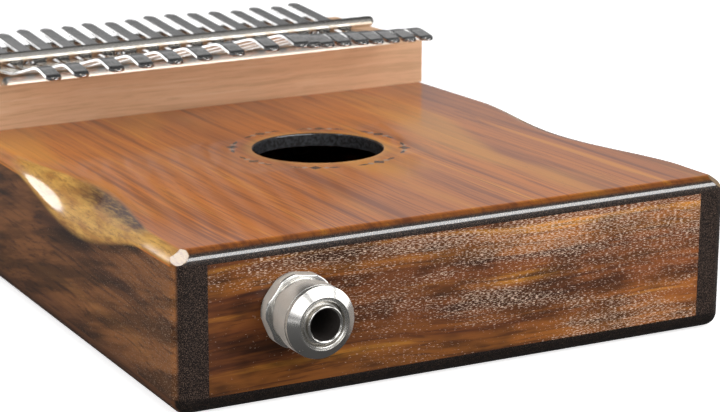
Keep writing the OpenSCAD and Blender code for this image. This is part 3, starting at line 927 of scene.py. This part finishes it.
def world():
    """Camera rays see white. Polished surfaces see a grey room, brighter low down, and matt
    surfaces get an even fill."""
    made = bpy.data.worlds.new("studio")
    bpy.context.scene.world = made
    made.use_nodes = True
    tree = made.node_tree
    tree.nodes.clear()
    link = tree.links.new

    def background(value):
        shader = tree.nodes.new("ShaderNodeBackground")
        shader.inputs["Color"].default_value = (value, value, value * 1.01, 1)
        return shader

    path = tree.nodes.new("ShaderNodeLightPath")
    coords = tree.nodes.new("ShaderNodeTexCoord")
    split = tree.nodes.new("ShaderNodeSeparateXYZ")
    link(coords.outputs["Generated"], split.inputs[0])
    height = tree.nodes.new("ShaderNodeMapRange")
    height.interpolation_type = "SMOOTHSTEP"
    for i, value in enumerate((*ROOM_STEP, ROOM_LOW, ROOM_HIGH)):
        height.inputs[i + 1].default_value = value
    link(split.outputs[2], height.inputs[0])
    glossy = background(1)
    link(height.outputs[0], glossy.inputs["Strength"])
    diffuse = background(ROOM_FILL)
    white = background(1.0)
    first, second = tree.nodes.new("ShaderNodeMixShader"), tree.nodes.new("ShaderNodeMixShader")
    link(path.outputs["Is Glossy Ray"], first.inputs[0])
    link(diffuse.outputs[0], first.inputs[1])
    link(glossy.outputs[0], first.inputs[2])
    link(path.outputs["Is Camera Ray"], second.inputs[0])
    link(first.outputs[0], second.inputs[1])
    link(white.outputs[0], second.inputs[2])
    output = tree.nodes.new("ShaderNodeOutputWorld")
    link(second.outputs[0], output.inputs[0])


def floor():
    """Pale floor, washed out to white where nothing shades it."""
    corners = ((-1, -1), (1, -1), (1, 1), (-1, 1))
    points = [(x * FLOOR_SIZE, y * FLOOR_SIZE, -FLOOR_DROP) for x, y in corners]
    mesh = bpy.data.meshes.new("floor")
    mesh.from_pydata(points, [], [(0, 1, 2, 3)])
    made = bpy.data.objects.new("floor", mesh)
    bpy.context.scene.collection.objects.link(made)
    s = Shader("pale_floor")
    path = s.node("LightPath")
    patches = s.noise(s.place, 0.004, 2.0)
    seen = s.math("MULTIPLY", path.outputs["Is Camera Ray"], FLOOR_GLOW)
    colour = s.mix(s.ramp(patches, 0.3, 0.7), *FLOOR_TONES)
    mesh.materials.append(s.finish(
        Base_Color=s.mix(path.outputs["Is Glossy Ray"], colour, FLOOR_MIRRORED), Roughness=0.9,
        Specular_IOR_Level=0.0, Emission_Color=(1, 1, 1), Emission_Strength=seen))


def softbox(name, place, target, size, radiance, only=None, tint=(1, 1, 1)):
    """Rectangular light; radiance is what a mirror would show of it. Alone, it gives matt light and is
    not mirrored. With `only`, it is just mirrored, and just by that collection's pieces."""
    lamp = bpy.data.lights.new(name, "AREA")
    lamp.shape = "RECTANGLE"
    lamp.size, lamp.size_y = size
    lamp.energy = radiance * pi * size[0] * size[1]
    lamp.color = tint
    made = bpy.data.objects.new(name, lamp)
    bpy.context.scene.collection.objects.link(made)
    made.location = place
    made.rotation_euler = (Vector(target) - Vector(place)).to_track_quat("-Z", "Y").to_euler()
    made.visible_camera = False
    made.visible_diffuse = not only
    made.visible_glossy = bool(only)
    if only:
        made.light_linking.receiver_collection = only


CREAM = (1, 0.95, 0.86)
# Materials whose pieces share a set of mirrored lights; "others" is all the rest
LIGHT_GROUPS = {"rods": ("polished_rod", "bridge_rod"), "tines": ("tine_steel",),
                "plated": ("nickel", "brass"), "others": ()}


def sorted_pieces():
    """One collection for each light group, so that a light can suit one kind of surface."""
    groups = {name: bpy.data.collections.new(name) for name in LIGHT_GROUPS}
    for piece in bpy.data.objects:
        if piece.type == "MESH" and piece.data.materials and piece.data.materials[0]:
            kind = piece.data.materials[0].name.split(".")[0]
            group = next((g for g, kinds in LIGHT_GROUPS.items() if kind in kinds), "others")
            groups[group].objects.link(piece)
    return groups.values()


def strip_below(node, reach, drop, radiance, tint, only):
    """Narrow light facing up beside the foot of a rod: the glow its lower half mirrors."""
    low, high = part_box(node)
    radius = (high.z - low.z) / 2
    near = (low.y + high.y) / 2 - 0.9 * radius       # just under the rod's near side
    place = ((low.x + high.x) / 2, near - reach / 2, high.z - radius - drop)
    softbox(node + "_glow", place, (place[0], place[1], 1.0), (high.x - low.x, reach), radiance, only,
            tint)


def lights():
    """Soft matt light for everything, and a set of mirrored lights for each light group. Each line
    gives a light's name, place, target, size and radiance, in metres and mirror units."""
    rods, tines, plated, woods = sorted_pieces()
    aim = (0, 0, 0.03)
    softbox("key_front_right", (0.55, -0.95, 0.75), aim, (0.6, 0.5), 3.9)
    softbox("front_low", (0.3, -1.3, 0.35), aim, (0.9, 0.5), 2.6)
    softbox("fill_left", (-0.9, -0.5, 0.4), aim, (0.7, 0.6), 1.6)
    softbox("overhead", (0.1, 0.75, 0.9), aim, (0.9, 0.8), 1.6)

    edge, corner, scoop = (0, PLAYER_Y, TOP_Z), (-0.065, PLAYER_Y, TOP_Z), (-0.065, -0.03, 0.03)
    softbox("edge_sheen", (0.25, -0.85, 0.62), edge, (1.3, 0.38), 12.0, woods)
    softbox("corner_sheen", (-0.485, 0.02, 0.94), corner, (0.30, 0.30), 17.0, woods)
    softbox("scoop_sheen", (-0.645, 0.748, 0.29), scoop, (0.22, 0.58), 7.5, woods)
    softbox("top_veil", (0.45, 0.95, 0.30), aim, (1.8, 0.5), 0.22, woods)

    strip_below("pressure_rod", 12 * MM, 0.5 * MM, 1.05, CREAM, rods)
    strip_below("front_bridge_rod", 14 * MM, 1.0 * MM, 1.2, CREAM, rods)
    softbox("rod_low_front", (0.25, -1.1, 0.10), aim, (1.7, 0.14), 1.1, rods, CREAM)
    softbox("rod_front", (0.1, -0.9, 0.75), aim, (1.6, 0.7), 0.38, rods)
    softbox("rod_top", (0.0, -0.2, 1.1), aim, (1.2, 0.8), 0.30, rods)

    softbox("tine_low_front", (0.25, -1.1, 0.16), aim, (1.7, 0.26), 1.6, tines, CREAM)
    softbox("tine_rear", (0.45, 0.85, 0.56), aim, (1.5, 0.30), 0.34, tines)
    softbox("tine_glint", (0.25, -0.85, 0.62), edge, (1.3, 0.28), 6.0, tines)
    softbox("tine_rear_left", (-0.5, 1.0, 0.18), aim, (0.9, 0.3), 2.4, tines)

    jack = (JACK_X, PLAYER_Y, JACK_Z)
    softbox("plated_left", (-0.5, -0.95, 0.55), jack, (0.7, 0.7), 2.0, plated)
    softbox("plated_top", (0.40, -0.65, 0.75), jack, (1.0, 0.7), 2.2, plated)
    softbox("plated_right", (1.0, -0.25, 0.24), jack, (0.5, 0.6), 2.0, plated)
    softbox("plated_front", (0.1, -1.1, 0.22), jack, (1.2, 0.4), 0.9, plated)
    softbox("plated_floor_left", (-0.6, -0.6, 0.003), (-0.6, -0.6, 1.0), (0.8, 0.8), 0.95, plated)
    softbox("plated_floor", (0.35, -0.8, 0.003), (0.35, -0.8, 1.0), (1.0, 1.0), 0.3, plated)
    softbox("plated_rear_left", (-0.8, 0.9, 0.2), jack, (1.2, 0.6), 1.0, plated)


CAMERA_AT = (-0.2231, -0.4358, 0.1450)
CAMERA_YAW, CAMERA_PITCH, CAMERA_ROLL = radians(19.73), radians(13.33), radians(-2.16)
CAMERA_LENS, CAMERA_SENSOR = 98.8, 36
CAMERA_SHIFT = (0.481, -0.0686)
CAMERA_STOP = 60
CAMERA_STAYS = 1 * MM         # how far it may move and still keep the shifted lens


def camera():
    """The photograph's view. It is an off-centre crop, so the lens is shifted, but only while the
    camera is in this place, so that views from elsewhere stay centred."""
    data = bpy.data.cameras.new("camera")
    data.lens = CAMERA_LENS
    data.sensor_width = CAMERA_SENSOR
    data.clip_start = 0.01
    made = bpy.data.objects.new("camera", data)
    bpy.context.scene.collection.objects.link(made)
    turn = (Matrix.Rotation(-CAMERA_YAW, 4, "Z") @ Matrix.Rotation(pi / 2 - CAMERA_PITCH, 4, "X")
            @ Matrix.Rotation(CAMERA_ROLL, 4, "Z"))
    made.matrix_world = Matrix.Translation(CAMERA_AT) @ turn
    bpy.context.scene.camera = made

    mark = bpy.data.objects.new("camera_home", None)
    bpy.context.scene.collection.objects.link(mark)
    mark.location = CAMERA_AT
    for path, value in zip(("shift_x", "shift_y"), CAMERA_SHIFT):
        driver = data.driver_add(path).driver
        driver.type = "SCRIPTED"
        away = driver.variables.new()
        away.name, away.type = "away", "LOC_DIFF"
        away.targets[0].id, away.targets[1].id = made, mark
        driver.expression = f"{value} if away < {CAMERA_STAYS} else 0"

    focus = bpy.data.objects.new("camera_focus", None)
    bpy.context.scene.collection.objects.link(focus)
    focus.location = (JACK_X, PLAYER_Y, JACK_Z)
    data.dof.use_dof = True
    data.dof.focus_object = focus
    data.dof.aperture_fstop = CAMERA_STOP


# ---- The object ----------------------------------------------------------

def dress(nodes, material):
    """Gives CAD nodes that stay as they are their material."""
    for name in nodes:
        NODES[name].data.materials.clear()
        NODES[name].data.materials.append(material)


def build():
    sound_box(top_wood(), side_wood(), back_wood())
    dress(["end_panel_front", "end_panel_rear"], panel_wood())
    dress(["bridge_block", "bridge_brace"], pale_wood())

    bridge = metal("bridge_rod", (0.92, 0.89, 0.84), rough=0.30, scratch_scale=2.0, tarnish=0.1,
                   lines=(0.05, 1, 1), spread=0.1)
    polished = metal("polished_rod", (0.80, 0.77, 0.72), rough=0.2, scratch_scale=2.0, tarnish=0.1,
                     lines=(0.05, 1, 1))
    spring_steel = metal("tine_steel", (0.66, 0.655, 0.65), rough=0.16, scratch_scale=2.5,
                         tarnish=0.2, lines=(1, 0.06, 1))
    nickel = metal("nickel", (0.88, 0.86, 0.82), rough=0.21, scratch_scale=1.5, tarnish=0.08,
                   lines=(1, 2, 1), spread=0.08)
    brass = metal("brass", (0.72, 0.5, 0.2), rough=0.2, scratch_scale=2.0, tarnish=0.2)
    rod("front_bridge_rod", bridge)
    rod("rear_bridge_rod", bridge)
    rod("pressure_rod", polished)
    tails = tree_of("tine_tails")
    for node in TINES:
        tine(node, tails, spring_steel)
    output_jack(nickel, plain("socket_bore", (0.06, 0.05, 0.045), rough=0.5, metallic=0.2))
    dress(["pressure_bolts"], spring_steel)
    dress(["jack_inner_washer", "jack_inner_nut"], nickel)
    dress(["jack_housing"], plain("black_plastic", (0.02, 0.02, 0.022), rough=0.4))
    dress(["jack_tip_spring", "piezo_disc"], brass)
    dress(["piezo_ceramic"], plain("ceramic", (0.8, 0.78, 0.72), rough=0.3))
    dress(["pickup_cable"], plain("cable", (0.02, 0.02, 0.02), rough=0.5))


build()
world()
floor()
lights()
camera()
bpy.context.scene.view_settings.view_transform = "Standard"
